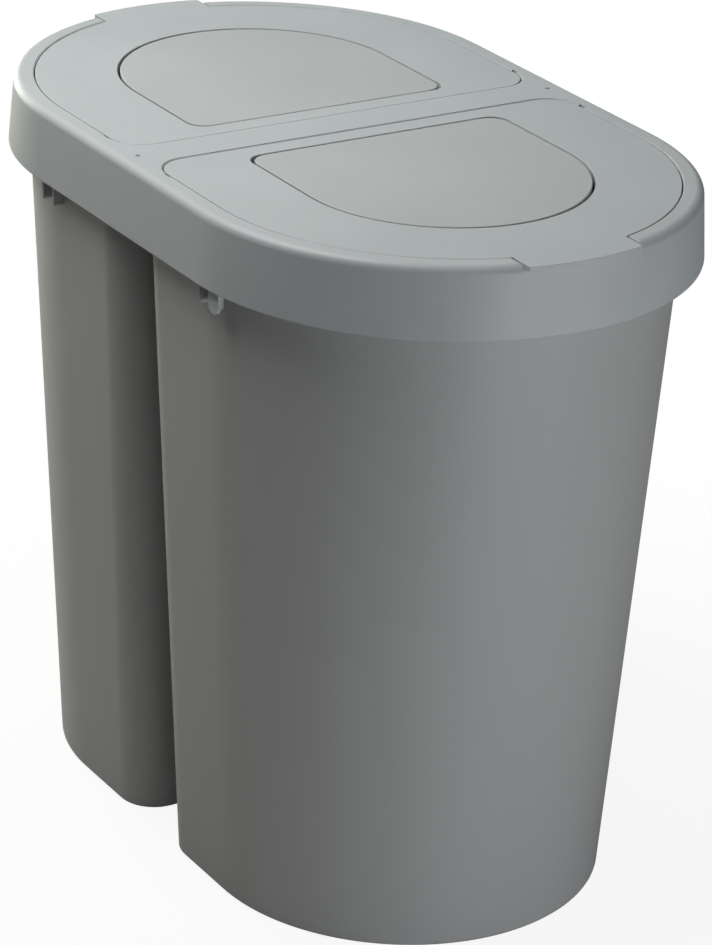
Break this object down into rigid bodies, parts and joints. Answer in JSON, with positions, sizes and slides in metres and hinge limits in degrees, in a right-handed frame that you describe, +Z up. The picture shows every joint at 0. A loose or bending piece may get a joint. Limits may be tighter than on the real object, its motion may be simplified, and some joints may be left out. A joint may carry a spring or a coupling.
{
  "type": "double recycling bin",
  "caption": "Double recycling bin: two tapered D-shaped tubs under one shared frame, with hinged D-shaped lids that hold swinging flaps.",
  "frame": {"origin": "on the floor, under the middle of the object", "axes": "+X through both tubs along the longest side, +Y across, +Z up"},
  "size_m": [0.567, 0.354, 0.5],
  "materials": {
    "frame_plastic": "fine matte moulded grain, light grey",
    "lid_plastic": "fine matte moulded grain, light grey",
    "flap_plastic": "fine matte moulded grain, light grey",
    "tub_plastic": "satin moulded plastic, mid grey"
  },
  "bodies": {
    "bin_left": {"bin_left": "tub_plastic"},
    "lid_frame": {"lid_frame": "frame_plastic"},
    "bin_right": {"bin_right": "tub_plastic"},
    "lid_right": {"lid_right": "lid_plastic"},
    "lid_left": {"lid_left": "lid_plastic"},
    "flap_right": {"flap_right": "flap_plastic"},
    "flap_left": {"flap_left": "flap_plastic"}
  },
  "joints": [
    {"name": "frame_lift", "type": "slide", "parent": "bin_left", "child": "lid_frame", "axis": [0, 0, 1], "range_m": [0, 0.15]},
    {"name": "bin_right_stay", "type": "slide", "parent": "lid_frame", "child": "bin_right", "axis": [0, 0, -1], "range_m": [0, 0.15]},
    {"name": "lid_right_hinge", "type": "hinge", "parent": "lid_frame", "child": "lid_right", "pos_m": [0.041, 0, 0.4942], "axis": [0, -1, 0], "range_deg": [0, 95]},
    {"name": "lid_left_hinge", "type": "hinge", "parent": "lid_frame", "child": "lid_left", "pos_m": [-0.041, 0, 0.4942], "axis": [0, 1, 0], "range_deg": [0, 95]},
    {"name": "flap_right_swing", "type": "hinge", "parent": "lid_right", "child": "flap_right", "pos_m": [0.11295, 0, 0.4956], "axis": [0, 1, 0], "range_deg": [-60, 60]},
    {"name": "flap_left_swing", "type": "hinge", "parent": "lid_left", "child": "flap_left", "pos_m": [-0.11295, 0, 0.4956], "axis": [0, 1, 0], "range_deg": [-60, 60]}
  ],
  "couplings": [
    {"joint": "bin_right_stay", "follows": "frame_lift", "ratio": 1}
  ]
}
